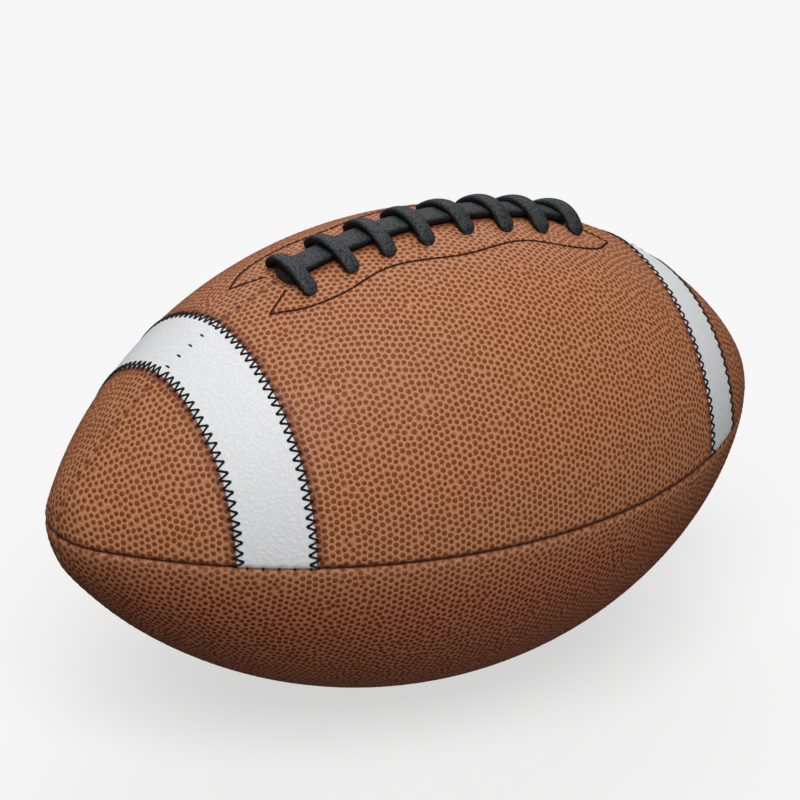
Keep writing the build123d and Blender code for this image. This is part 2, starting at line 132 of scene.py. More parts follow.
# Lacing: the bars, with their hand-pulled shifts from left to right, and the strap under them
LACE_BARS = 8
LACE_PITCH = 16.4
LACE_WIDTH = 6.2
LACE_THICKNESS = 3.0
LACE_RISE = 6.1
LACE_HOLE = 13.2
LACE_TIP_ROUND = 0.86
LACE_KEEL = 2.9
LACE_KEEL_TAPER = 0.3
LACE_BACK_SAG = 0.3
LACE_BACK_NARROW = 0.25
LACE_FAR_SHIFTS = [2.7, 1.7, 1.3, 0.4, -0.8, 0.0, -1.2, -2.4]
LACE_NEAR_SHIFTS = [1.8, 2.2, 1.1, 0.2, 1.7, 1.4, 0.0, 0.5]
LACE_NEAR_SHORTS = [0.0, 0.0, 0.4, 0.0, 1.6, 0.5, -0.5, 1.6]
LACE_LIFTS = [0.5, 0.1, 0.0, 0.0, -0.3, 0.0, -0.2, 0.1]
LACE_SQUARENESS = 2.6
LACE_SIDES = 20
LACE_ARC_STEPS = 8
LACE_BEND_STEPS = 7
LACE_RUN_SHARES = (0.08, 0.3, 0.5, 0.7, 0.92)
# Painted shade on the lower flanks of the lace and the strap, over this span of their rounding
FLANK_SHADE_FROM, FLANK_SHADE_TO = 0.1, 0.8
# Reach of the painted shade that darkens the lace towards its right end
LACE_SHADE_REACH = 60.0
LACE_BEND = 3.0
LACE_BEND_DROP = 2.2
LACE_UNDER = 8.7
LACE_LEG_DROPS = (4.0, 6.0, LACE_UNDER - 1.2)
STRAP_WIDTH = 11.0
STRAP_THICKNESS = 3.0
STRAP_CROWN_SHARE = 0.3
STRAP_SQUARENESS = 5.0
STRAP_SIDES = 28
STRAP_STEPS = 48
STRAP_BEND_STEPS = 6
STRAP_EDGE_MARGIN = 0.5
STRAP_REACH = 54.6
STRAP_BEND = 2.4
STRAP_LEG = 4.2
STRAP_SEAT = 0.1
OPENING_X = STRAP_REACH + STRAP_BEND
SLOPE_STEP = 0.01
TANGENT_STEP = 0.1

# Dips of the leather along the facing stitch, at the lace holes and at the strap's openings
FACING_DIP = 0.30
FACING_DIP_REACH = 0.75
HOLE_DIP = 0.8
HOLE_DIP_REACH = 4.2
HOLE_DIP_SQUEEZE = 1.1
OPENING_DIP = 1.5
OPENING_DIP_REACH = (3.0, 6.4)
RIM_RISE = 0.5
RIM_SHIFT = 5.0
RIM_REACH = (1.6, 6.0)

# Facing stitch line: shares of its reach and width, from the middle to the tip
FACING_REACH = 70.5
FACING_WIDTH = 23.5
FACING_LENGTH_SHARES = [0.0, 0.41, 0.69, 0.85, 1.0]
FACING_LEFT_SHARES = [1.0, 0.80, 0.87, 0.77, 0.50]
FACING_RIGHT_SHARES = [1.0, 0.87, 0.98, 0.91, 0.60]
FACING_RETURN_SHARES = (0.86, 0.27)
FACING_STEPS = 400
FACING_RETURN_STEPS = 24
FACING_STITCH = 2.7
FACING_STITCH_SHARES = np.array([0.04, 0.15, 0.5, 0.85, 0.96])
FACING_STITCH_LIFTS = np.array([-0.22, 0.10, 0.16, 0.10, -0.22])
FACING_THREAD_RADIUS = 0.45
FACING_NEAR_X = 8
FACING_NEAR_Y = 12
FAR_AWAY = 1e3

# Ticks of seam thread: reach across the seam, depth and thread radius
TICK_SIZES = {"lace": (1.3, 0.25, 0.48), "front": (0.45, 0.75, 0.36), "back": (0.45, 0.75, 0.36)}
TICK_SHARES = (-1, -0.5, 0, 0.5, 1)
TICK_SAGS = (0.35, 0.05, 0.0, 0.05, 0.35)

# Valve
VALVE_HOLE = 4.1
VALVE_LIP = 5.4
VALVE_SIDES = 22
VALVE_INSIDE_SHARE = 0.97

# Camera, from the fit of the ball's outline
FRAME_PIXELS = 800.0
BALL_PIXEL = (414.70, 442.68)
FOCAL_PIXELS = 3055.88
SENSOR = 36.0
FARTHEST_VIEW = 50.0
VIEW_AZIMUTH = math.radians(-36.005)
VIEW_ELEVATION = math.radians(25.308)
VIEW_ROLL = math.radians(2.691)
VIEW_DISTANCE = 1089.37

# Light: a broad lamp overhead, weaker ones behind and in front, and a faint glow all round
OVERHEAD_FROM = (-0.29, -0.42, 0.86)
OVERHEAD_POWER = 2.8
OVERHEAD_SPREAD = math.radians(45)
REAR_FROM = (0.35, 0.60, 0.72)
REAR_POWER = 1.3
REAR_SPREAD = math.radians(55)
FRONT_FROM = (0.0, -0.97, -0.25)
FRONT_POWER = 0.45
FRONT_SPREAD = math.radians(70)
STUDIO_GLOW = 0.08
FLOOR_REACH = 12.0
FLOOR_SIDES = 64
FLOOR_BLOTCH = 400.0
FLOOR_VARIATION = 1.02
FLOOR_BASE = 0.25
FLOOR_GLOW = 0.635
BACKDROP_BASE = 0.02
BACKDROP_GLOW = 0.92

shift_c = AXIS_SHIFT / math.sqrt(2)
nose_x = HALF_LENGTH - NOSE_RADIUS
big_arc = (nose_x**2 + PANEL_RADIUS**2 - NOSE_RADIUS**2) / (2 * (PANEL_RADIUS - NOSE_RADIUS))
big_drop = big_arc - PANEL_RADIUS
nose_lean = math.asin(nose_x / (big_arc - NOSE_RADIUS))
big_length = big_arc * nose_lean
meridian_end = big_length + NOSE_RADIUS * (math.pi / 2 - nose_lean)


# Ball surface, as functions of s along the ball and turn round a panel from its lace seam
def profile(s):
    """Place along X, radius about the panel's own axis and lean of the surface at s."""
    along = np.abs(s)
    lean = np.where(along < big_length, along / big_arc, nose_lean + (along - big_length) / NOSE_RADIUS)
    on_big = along < big_length
    x = np.where(on_big, big_arc * np.sin(lean), nose_x + NOSE_RADIUS * np.sin(lean))
    radius = np.where(on_big, big_arc * np.cos(lean) - big_drop, NOSE_RADIUS * np.cos(lean))
    return np.sign(s) * x, radius + AXIS_SHIFT, np.sign(s) * lean


def s_at(x):
    """Arc length along the ball at a place along X on the large arc."""
    return big_arc * np.arcsin(np.asarray(x, float) / big_arc)


stripe_s = {side: [float(s_at(x)) for x in edges] for side, edges in STRIPE_EDGES.items()}


def seam_turn(out):
    """Turn at which a panel meets its first seam."""
    return np.arcsin(np.clip(shift_c / out, -1, 1))


def seam_distance(s, turn):
    """Distance to the nearer seam plane, negative inside the seam."""
    out = profile(s)[1]
    first = seam_turn(out)
    return np.minimum((turn - first) * out, (math.pi / 2 - first - turn) * out)


def between_seams(turn, first, margin):
    """Turn kept inside a panel's two seams by a margin of turn."""
    low = np.minimum(first + margin, math.pi / 4)
    high = np.maximum(math.pi / 2 - first - margin, math.pi / 4)
    return np.clip(turn, low, high)


def stitch_pull(s):
    """How hard the seam's stitches pull at s, from 0 between two stitches to 1 at one."""
    return 0.5 + 0.5 * np.cos(2 * math.pi * s / STITCH_PITCH)


def rolled(distance, roll):
    """How far the leather has rolled in at a distance from the seam."""
    inside = np.clip(distance, SEAM_TIGHT, roll)
    turned = roll - np.sqrt(np.maximum(roll**2 - (roll - inside) ** 2, 0))
    wall = np.clip(-distance / SEAM_WALL, 0, 1) * SEAM_WALL_DEPTH
    return turned * SEAM_DEPTH_SHARE + wall


def panel_surface(s, turn, lift=0.0, laced=True, seam_share=1.0):
    """Points and normals of the front lace panel, rolled in at its seams, raised by lift."""
    x, out, lean = profile(s)
    distance = seam_distance(s, turn)
    held = between_seams(turn, seam_turn(out), SEAM_TIGHT / out)
    normal = np.stack([np.sin(lean), -np.cos(lean) * np.sin(held), np.cos(lean) * np.cos(held)], -1)
    point = np.stack([x, shift_c - out * np.sin(held), out * np.cos(held) - shift_c], -1)
    at_lace = laced & (turn < math.pi / 4)
    roll = np.where(at_lace, LACE_SEAM_ROLL * seam_share, SEAM_ROLL)
    pucker = np.where(at_lace, PUCKER_DEPTH * seam_share, PUCKER_DEPTH)
    fade = np.exp(-(np.maximum(distance, 0) / PUCKER_REACH) ** 2)
    depth = rolled(distance, roll) + pucker * stitch_pull(s) * fade
    return point + normal * (lift - depth)[..., None], normal


def seam_height(x):
    """Height of the lace seam over the ball's axis."""
    out = np.sqrt(big_arc**2 - np.asarray(x, float) ** 2) - big_drop + AXIS_SHIFT
    return np.sqrt(out**2 - shift_c**2) - shift_c


def lacing_point(x, y, z):
    """Point given along the seam, across it and out of the ball from the seam at x."""
    fall = seam_height(x - SLOPE_STEP) - seam_height(x + SLOPE_STEP)
    slope = math.atan(fall / (2 * SLOPE_STEP))
    return Vector((x + z * math.sin(slope), y, float(seam_height(x)) + z * math.cos(slope)))


def facing_line():
    """Points of the facing's stitch line in plan, from one tip to the other, front side."""
    share_x = np.array(FACING_LENGTH_SHARES) * FACING_REACH
    knot_x = np.concatenate([-share_x[:0:-1], share_x])
    knot_y = np.array(FACING_LEFT_SHARES[:0:-1] + FACING_RIGHT_SHARES) * FACING_WIDTH
    knots = np.concatenate([[0], np.cumsum(np.hypot(np.diff(knot_x), np.diff(knot_y)))])
    fine = np.linspace(0, knots[-1], FACING_STEPS)

    def cubic(values):
        tangent = np.gradient(values, knots)
        spot = np.clip(np.searchsorted(knots, fine, "right") - 1, 0, len(knots) - 2)
        width = knots[spot + 1] - knots[spot]
        u = (fine - knots[spot]) / width
        return ((2 * u**3 - 3 * u**2 + 1) * values[spot] + (u**3 - 2 * u**2 + u) * width * tangent[spot]
                + (3 * u**2 - 2 * u**3) * values[spot + 1] + (u**3 - u**2) * width * tangent[spot + 1])

    line = np.stack([cubic(knot_x), -cubic(knot_y)], -1)
    back = np.array([FACING_REACH * FACING_RETURN_SHARES[0], -FACING_WIDTH * FACING_RETURN_SHARES[1]])
    ease = np.linspace(0, 1, FACING_RETURN_STEPS)[:, None]
    right = line[-1] + (back - line[-1]) * ease
    left = line[0] + (back * np.array([-1, 1]) - line[0]) * ease
    return np.concatenate([left[::-1], line, right])


facing_plan = facing_line()


def nearest_plan(points, plan):
    """Least distance in plan from points to a line of plan points."""
    gaps = np.full(len(points), FAR_AWAY)
    near = (np.abs(points[:, 0]) < FACING_REACH + FACING_NEAR_X) & (points[:, 2] > 0)
    near &= points[:, 1] > -FACING_WIDTH - FACING_NEAR_Y
    if near.any():
        gaps[near] = np.sqrt(((points[near, None, :2] - plan[None]) ** 2).sum(-1)).min(1)
    return gaps


bar_places = [(step - (LACE_BARS - 1) / 2) * LACE_PITCH for step in range(LACE_BARS)]


def lacing_dip(points):
    """How far the lacing pulls the leather of the front lace panel in."""
    along, across = points[:, 0], points[:, 1]
    up = points[:, 2] > 0
    dip = FACING_DIP * np.exp(-(nearest_plan(points, facing_plan) / FACING_DIP_REACH) ** 2)
    for x in bar_places:
        reach = np.hypot(along - x, (across + LACE_HOLE) * HOLE_DIP_SQUEEZE)
        dip += np.where(up, HOLE_DIP * np.exp(-(reach / HOLE_DIP_REACH) ** 2), 0)
    for side in (-1, 1):
        from_opening = along - side * OPENING_X
        box = (from_opening / OPENING_DIP_REACH[0]) ** 4 + (across / OPENING_DIP_REACH[1]) ** 4
        dip += np.where(up, OPENING_DIP * np.exp(-box), 0)
        from_rim = along - side * (OPENING_X + RIM_SHIFT)
        rim = (from_rim / RIM_REACH[0]) ** 2 + (across / RIM_REACH[1]) ** 2
        dip -= np.where(up, RIM_RISE * np.exp(-rim), 0)
    return dip


# Mesh helpers
def new_piece(name, points, faces, material):
    """Object of the ball from points in millimetres about the ball's middle."""
    mesh = bpy.data.meshes.new(name)
    moved = (np.asarray(points, float) + np.array([0, 0, AXIS_HEIGHT])) * MM
    mesh.from_pydata(moved.tolist(), [], faces)
    mesh.update()
    mesh.shade_smooth()
    piece = bpy.data.objects.new(name, mesh)
    bpy.context.scene.collection.objects.link(piece)
    mesh.materials.append(material)
    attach(piece, "root")
    return piece


def tubes(paths, radius):
    """Round thread pieces along short lists of points, closed at their ends."""
    sides = THREAD_SIDES
    points, faces = [], []
    for path in paths:
        path = [Vector(p) for p in path]
        sizes = np.broadcast_to(radius, len(path))
        base = len(points)
        side = None
        for k, spot in enumerate(path):
            ahead = path[min(k + 1, len(path) - 1)] - path[max(k - 1, 0)]
            ahead.normalize()
            side = ahead.orthogonal() if side is None else side - ahead * side.dot(ahead)
            side.normalize()
            up = ahead.cross(side)
            for n in range(sides):
                angle = 2 * math.pi * n / sides
                points.append(spot + (side * math.cos(angle) + up * math.sin(angle)) * sizes[k])
        for k in range(len(path) - 1):
            for n in range(sides):
                a, b = base + k * sides + n, base + k * sides + (n + 1) % sides
                faces.append((a, b, b + sides, a + sides))
        faces.append(tuple(base + n for n in reversed(range(sides))))
        end = base + (len(path) - 1) * sides
        faces.append(tuple(end + n for n in range(sides)))
    return np.array([list(p) for p in points]), faces


def mirrored(points, faces):
    """Copy for the back side of the ball."""
    return points * np.array([1, -1, 1]), [tuple(reversed(face)) for face in faces]


def turned_round(points, faces):
    """Copy for the back side of the ball, end for end."""
    return points * np.array([-1, -1, 1]), faces


# Pebbled leather mesh
quadrature = np.linspace(0, meridian_end, MERIDIAN_STEPS)
quadrature_out = profile(quadrature)[1]
mean_out = (quadrature_out[1:] + quadrature_out[:-1]) / 2
stretch = np.concatenate([[0], np.cumsum(np.diff(quadrature) / mean_out)])


def conformal(s):
    """Place along the ball that keeps angles true against the turn."""
    return np.sign(s) * np.interp(np.abs(s), quadrature, stretch)


def scatter(s_from, s_to, rng):
    """Pebble centres of one stretch of a panel, in rows round the ball."""
    row = PEBBLE_PITCH * math.sqrt(3) / 2
    rows = max(int(round((s_to - s_from) / row)), 1)
    s_all, turn_all = [], []
    for k in range(rows):
        s = s_from + (k + 0.5) * (s_to - s_from) / rows
        out = float(profile(np.array(s))[1])
        first = float(seam_turn(np.array(out)))
        width = (math.pi / 2 - 2 * first) * out - 2 * PEBBLE_SEAM_MARGIN
        count = int(width / PEBBLE_PITCH)
        if count < 1:
            continue
        spots = (np.arange(count) + PEBBLE_ROW_START_SHARE + PEBBLE_STAGGER_SHARE * (k % 2)) / count
        s_all.append(np.full(count, s))
        turn_all.append(first + (PEBBLE_SEAM_MARGIN + spots * width) / out)
    s_all, turn_all = np.concatenate(s_all), np.concatenate(turn_all)
    jitter = PEBBLE_JITTER * PEBBLE_PITCH
    s_all = s_all + rng.normal(0, jitter, len(s_all))
    turn_all = turn_all + rng.normal(0, jitter, len(s_all)) / profile(s_all)[1]
    return np.clip(s_all, s_from + PEBBLE_END_MARGIN, s_to - PEBBLE_END_MARGIN), turn_all


def relax(s, turn, s_from, s_to):
    """Moves crowded pebbles apart along the surface."""
    for _ in range(PEBBLE_ROUNDS):
        x, out, lean = profile(s)
        points = np.stack([x, shift_c - out * np.sin(turn), out * np.cos(turn) - shift_c], -1)
        tree = KDTree(len(points))
        for k, point in enumerate(points):
            tree.insert(point, k)
        tree.balance()
        push = np.zeros_like(points)
        for k, point in enumerate(points):
            for near, other, gap in tree.find_n(point, PEBBLE_NEIGHBOURS):
                if other != k and gap < PEBBLE_PITCH:
                    away = (point - np.array(near)) / max(gap, PEBBLE_LEAST_GAP)
                    push[k] += away * (PEBBLE_PITCH - gap) * PEBBLE_PUSH_SHARE
        along = np.stack([np.cos(lean), np.sin(lean) * np.sin(turn), -np.sin(lean) * np.cos(turn)], -1)
        across = np.stack([0 * turn, -np.cos(turn), -np.sin(turn)], -1)
        s = np.clip(s + (push * along).sum(-1), s_from + PEBBLE_END_MARGIN, s_to - PEBBLE_END_MARGIN)
        turn = turn + (push * across).sum(-1) / out
        new_out = profile(s)[1]
        turn = between_seams(turn, seam_turn(new_out), PEBBLE_SEAM_MARGIN / new_out)
    return s, turn


def border(s_from, s_to):
    """Plain points along the seams and the ends of one stretch of a panel."""
    s_all, turn_all = [], []
    steps = int((s_to - s_from) / EDGE_STEP)
    s_row = np.linspace(s_from, s_to, steps + 1)
    out = profile(s_row)[1]
    first = seam_turn(out)
    for distance in SEAM_ROWS:
        low = first + distance / out
        keep = low < math.pi / 4
        s_all += [s_row[keep], s_row[keep]]
        turn_all += [low[keep], math.pi / 2 - low[keep]]
    for s in (s_from, s_to):
        out = float(profile(np.array(s))[1])
        first = float(seam_turn(np.array(out)))
        low = first + SEAM_ROWS[0] / out
        count = int((math.pi / 2 - 2 * low) * out / EDGE_STEP)
        if count > 1:
            turns = np.linspace(low, math.pi / 2 - low, count + 1)[1:-1]
            s_all.append(np.full(len(turns), s))
            turn_all.append(turns)
    return np.concatenate(s_all), np.concatenate(turn_all)


def pebble_patch(s_from, s_to, seed, laced, hole=None):
    """One pebbled stretch of a panel, laid out as if on the front lace panel."""
    rng = np.random.default_rng(seed)
    s, turn = relax(*scatter(s_from, s_to, rng), s_from, s_to)
    if hole:
        ring_s, ring_turn, inside = hole(s, turn)
        s, turn = s[~inside], turn[~inside]
    edge_s, edge_turn = border(s_from, s_to)
    if hole:
        edge_s, edge_turn = np.concatenate([edge_s, ring_s]), np.concatenate([edge_turn, ring_turn])
    amount = np.concatenate([rng.uniform(*PEBBLE_HEIGHT_SHARES, len(s)), np.zeros(len(edge_s))])
    tone = np.concatenate([rng.uniform(0, 1, len(s)), np.full(len(edge_s), 0.5)])
    s, turn = np.concatenate([s, edge_s]), np.concatenate([turn, edge_turn])
    flat = np.stack([conformal(s), turn], -1)
    _, _, triangles, sources, _, _ = delaunay_2d_cdt([Vector(p) for p in flat], [], [], 0, SAME_POINT)
    keep = np.array([source[0] for source in sources])
    s, turn, amount, tone = s[keep], turn[keep], amount[keep], tone[keep]
    triangles = np.array([tuple(face) for face in triangles])
    if hole:
        middle_s, middle_turn = s[triangles].mean(1), turn[triangles].mean(1)
        triangles = triangles[~hole(middle_s, middle_turn, shrink=True)[2]]
    real, _ = panel_surface(s, turn)
    corner = real[triangles]
    sides = np.linalg.norm(corner - np.roll(corner, -1, axis=1), axis=-1)
    triangles = triangles[sides.max(1) < LONGEST_SIDE_SHARE * PEBBLE_PITCH]
    return cell_mesh(s, turn, amount, tone, triangles, laced)


def cell_mesh(s, turn, amount, tone, triangles, laced):
    """Splits a triangle net of pebble centres into one raised cell per pebble."""
    count, total = len(s), len(triangles)
    owner = {}
    for t, face in enumerate(triangles):
        for k in range(3):
            owner[(int(face[k]), int(face[(k + 1) % 3]))] = (t, k)
    heart_s = list(s[triangles].mean(1))
    heart_turn = list(turn[triangles].mean(1))
    heart_amount = list(amount[triangles].min(1))
    ring_owner = [int(i) for face in triangles for i in face]
    ring_heart = [t for t in range(total) for _ in range(3)]
    sectors = []
    for (i, j), (t, k) in owner.items():
        left_i, left_j = 3 * t + k, 3 * t + (k + 1) % 3
        other = owner.get((j, i))
        if other is None:
            h = len(heart_s)
            heart_s.append((s[i] + s[j]) / 2)
            heart_turn.append((turn[i] + turn[j]) / 2)
            heart_amount.append(0.0)
            ring_owner += [i, j]
            ring_heart += [h, h]
            right_i, right_j, right_h = len(ring_owner) - 2, len(ring_owner) - 1, h
            sectors.append((j, left_j, right_j, t, right_h))
        else:
            right_h, place = other
            right_i = 3 * right_h + (place + 1) % 3
        sectors.append((i, right_i, left_i, right_h, t))
    heart_s, heart_turn = np.array(heart_s), np.array(heart_turn)
    ring_owner, ring_heart = np.array(ring_owner), np.array(ring_heart)
    ring_s = s[ring_owner] + PEBBLE_RING * (heart_s[ring_heart] - s[ring_owner])
    ring_turn = turn[ring_owner] + PEBBLE_RING * (heart_turn[ring_heart] - turn[ring_owner])
    every_s = np.concatenate([s, ring_s, heart_s])
    every_turn = np.concatenate([turn, ring_turn, heart_turn])
    ring_lift = PEBBLE_RING_HEIGHT_SHARE * PEBBLE_HEIGHT * amount[ring_owner]
    lift = np.concatenate([PEBBLE_HEIGHT * amount, ring_lift, -PEBBLE_VALLEY * np.array(heart_amount)])
    ring_base, heart_base = count, count + len(ring_owner)
    faces, cell = [], []
    for i, first, second, heart_a, heart_b in sectors:
        a, b = ring_base + first, ring_base + second
        faces.append((i, b, a))
        faces.append((a, b, heart_base + heart_b, heart_base + heart_a))
        cell += [i, i]
    plain, normal = panel_surface(every_s, every_turn, laced=laced)
    cell = np.array(cell)
    share = np.concatenate([np.zeros(count), np.full(len(ring_owner), PEBBLE_RING), np.ones(len(heart_s))])
    gap = seam_distance(every_s, every_turn)
    # The lace seams and bottom seams get fainter painted seam shade.
    faint = np.where(every_turn < math.pi / 4, LACE_SEAM_FAINT, 0.0) if laced else BOTTOM_SEAM_FAINT
    return {"plain": plain, "normal": normal, "lift": lift, "faces": faces, "cell": cell,
            "tone": tone[cell], "real": amount[cell] > 0, "s": every_s, "gap": gap,
            "seam": gap + faint, "share": share}


def zigzag_ends(side, edge_x, inward):
    """Ends of the slanting stitches along one edge of a stripe, by turns on the panel and on the stripe."""
    on_stripe = s_at(edge_x + inward * ZIGZAG_ON_STRIPE)
    on_panel = s_at(edge_x - inward * ZIGZAG_ON_PANEL)
    out = float(profile(on_panel)[1])
    first = float(seam_turn(np.array(out))) + ZIGZAG_END / out
    steps = 2 * round((math.pi / 2 - 2 * first) * out / ZIGZAG_PITCH)
    rng = np.random.default_rng(int(edge_x))
    ends = []
    for k in range(steps + 1):
        turn = first + (math.pi / 2 - 2 * first) * k / steps + rng.normal(0, ZIGZAG_JITTER) / out
        s = (on_stripe if k % 2 else on_panel) + rng.normal(0, ZIGZAG_JITTER)
        ends.append((side * float(s), turn))
    return ends


zigzags = {}
for side, (inner_x, outer_x) in STRIPE_EDGES.items():
    zigzags[side, "inner"] = zigzag_ends(side, inner_x, 1)
    zigzags[side, "outer"] = zigzag_ends(side, outer_x, -1)
needle_holes = []
for (side, edge), ends in zigzags.items():
    off = NEEDLE_HOLE_SHIFT * (-side if edge == "inner" else side)
    needle_holes += [(s + off, turn) for s, turn in ends[::2]]
needle_holes = np.array(needle_holes)
needle_tree = KDTree(len(needle_holes))
for k, point in enumerate(panel_surface(needle_holes[:, 0], needle_holes[:, 1])[0]):
    needle_tree.insert(point, k)
needle_tree.balance()


def painted_seam_shade(patch, laced):
    """Painted shade: how dark the stitch pits, the needle holes, the stripes' borders and the leather
    beside the strap's border are painted.
    """
    s, gap, plain = patch["s"], patch["gap"], patch["plain"]
    # Painted shade in the stitch pits beside the seams.
    shade_marks = stitch_pull(s) ** PIT_SHARPNESS * np.exp(-(np.maximum(gap, 0) / PIT_REACH) ** 2)
    if laced:
        # Painted shadow along the stripes' edges and in the needle holes.
        edges = np.where(s[:, None] < 0, stripe_s[-1], stripe_s[1])
        edge = np.abs(np.abs(s)[:, None] - edges).min(1)
        shade_marks = np.maximum(shade_marks, STRIPE_EDGE_SHADE_DARK * np.exp(-(edge / STRIPE_EDGE_SHADE) ** 2))
        for k in np.nonzero(edge < NEEDLE_HOLE_SHIFT + 2 * NEEDLE_HOLE_REACH)[0]:
            away = needle_tree.find(plain[k])[2]
            shade_marks[k] = max(shade_marks[k], math.exp(-(away / NEEDLE_HOLE_REACH) ** 2))
        # Painted shadow on the leather along the strap's edges.
        across = np.maximum(np.abs(plain[:, 1]) - STRAP_WIDTH / 2, 0)
        covered = (np.abs(plain[:, 0]) < OPENING_X) & (plain[:, 2] > 0)
        shade = STRAP_SHADE_DARK * np.exp(-(across / STRAP_SHADE) ** 2)
        shade_marks = np.maximum(shade_marks, np.where(covered, shade, 0))
    return shade_marks


def add_values(mesh, name, domain, kind, field, values):
    """Stores values on a mesh for its material to read."""
    layer = mesh.attributes.new(name, kind, domain)
    layer.data.foreach_set(field, np.asarray(values, np.float32).ravel())


def pebbled_panel(name, node, patches, turn_matrix, material, laced):
    """One panel of pebbled leather from its stretches, set in its place on the ball."""
    flip = np.linalg.det(turn_matrix) < 0
    points, faces, offsets, tones, shares, seams, shade_marks, wear_and_highlight = [], [], [], [], [], [], [], []
    base = 0
    for patch in patches:
        plain, share = patch["plain"], patch["share"]
        sunk = worn_and_lit = np.zeros(len(plain))
        if laced:
            sunk = lacing_dip(plain * np.array([-1, 1, 1]) if flip else plain)
        else:
            # Dots fade near the bottom panels' seams: wear, and a painted highlight on the rolled edge.
            worn_and_lit = np.exp(-(np.maximum(patch["gap"], 0) / WEAR_AND_HIGHLIGHT_REACH) ** 2)
        place = plain + patch["normal"] * (patch["lift"] - sunk)[:, None]
        for face, middle, value, pebble in zip(patch["faces"], patch["cell"], patch["tone"], patch["real"]):
            order = tuple(reversed(face)) if flip else face
            faces.append(tuple(base + v for v in order))
            for v in order:
                offsets.append(plain[v] - plain[middle] if pebble else PEBBLE_FAR_OFFSET)
                tones.append(value)
                shares.append(share[v])
        points.append(place @ turn_matrix.T)
        seams.append(patch["seam"])
        shade_marks.append(painted_seam_shade(patch, laced))
        wear_and_highlight.append(worn_and_lit)
        base += len(plain)
    piece = new_piece(name, np.concatenate(points), faces, material)
    add_values(piece.data, "pebble_offset", "CORNER", "FLOAT_VECTOR", "vector", offsets)
    add_values(piece.data, "pebble_tone", "CORNER", "FLOAT", "value", tones)
    add_values(piece.data, "pebble_share", "CORNER", "FLOAT", "value", shares)
    add_values(piece.data, "seam_gap", "POINT", "FLOAT", "value", np.concatenate(seams))
    add_values(piece.data, "painted_seam_shade", "POINT", "FLOAT", "value", np.concatenate(shade_marks))
    add_values(piece.data, "seam_wear_and_highlight", "POINT", "FLOAT", "value", np.concatenate(wear_and_highlight))
    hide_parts(node)


# Shader maths as plain expressions
class Value:
    """A socket that takes part in sums."""

    def __init__(self, graph, socket):
        self.graph, self.socket = graph, socket

    def math(self, operation, first, second=0.0):
        return self.graph.node("ShaderNodeMath", {"operation": operation}, {0: first, 1: second})

    def __add__(self, other):
        return self.math("ADD", self, other)

    __radd__ = __add__

    def __sub__(self, other):
        return self.math("SUBTRACT", self, other)

    def __rsub__(self, other):
        return self.math("SUBTRACT", other, self)

    def __mul__(self, other):
        return self.math("MULTIPLY", self, other)

    __rmul__ = __mul__

    def __truediv__(self, other):
        return self.math("DIVIDE", self, other)


class Finish:
    """One material and the nodes that make it."""

    def __init__(self, name):
        self.material = bpy.data.materials.new(name)
        self.material.use_nodes = True
        self.tree = self.material.node_tree
        self.tree.nodes.clear()

    def node(self, kind, settings=None, sockets=None, output=0):
        """Adds a node: settings first, then the values or links of its sockets."""
        made = self.tree.nodes.new(kind)
        for name, value in (settings or {}).items():
            setattr(made, name, value)
        for key, value in (sockets or {}).items():
            socket = made.inputs[key]
            if isinstance(value, Value):
                self.tree.links.new(value.socket, socket)
            else:
                socket.default_value = value
        return Value(self, made.outputs[output]) if len(made.outputs) else made

    def mix(self, share, first, second):
        """Blends two colours."""
        paint = [value if isinstance(value, Value) else (*value, 1.0) for value in (first, second)]
        return self.node("ShaderNodeMix", {"data_type": "RGBA"}, {0: share, 6: paint[0], 7: paint[1]}, 2)

    def step(self, value, low, high):
        """Smooth step of a value from 0 at low to 1 at high."""
        smooth = {"interpolation_type": "SMOOTHSTEP"}
        return self.node("ShaderNodeMapRange", smooth, {0: value, 1: low, 2: high})

    def place(self):
        """Place on the ball, in metres."""
        return self.node("ShaderNodeTexCoord", None, None, 3)

    def noise(self, size, detail=2.0, roughness=0.5):
        """Soft noise with blotches of a size in millimetres."""
        sockets = {"Vector": self.place(), "Scale": 1 / (size * MM), "Detail": detail}
        return self.node("ShaderNodeTexNoise", None, sockets | {"Roughness": roughness})

    def cells(self, size, randomness=1.0):
        """Distance pattern of cells of a size in millimetres."""
        sockets = {"Vector": self.place(), "Scale": 1 / (size * MM), "Randomness": randomness}
        return self.node("ShaderNodeTexVoronoi", None, sockets)

    def attribute(self, name, output):
        """Value stored on the mesh: output 1 for a vector, 2 for a number."""
        return self.node("ShaderNodeAttribute", {"attribute_name": name}, None, output)

    def bump(self, height, depth, strength=1.0):
        """Normal from a height pattern, depth in millimetres."""
        sockets = {"Height": height, "Distance": depth * MM, "Strength": strength}
        return self.node("ShaderNodeBump", None, sockets)

    def surface(self, sockets):
        """Closes the material with its surface."""
        shader = self.node("ShaderNodeBsdfPrincipled", None, sockets)
        self.node("ShaderNodeOutputMaterial", None, {"Surface": shader})
        return self.material


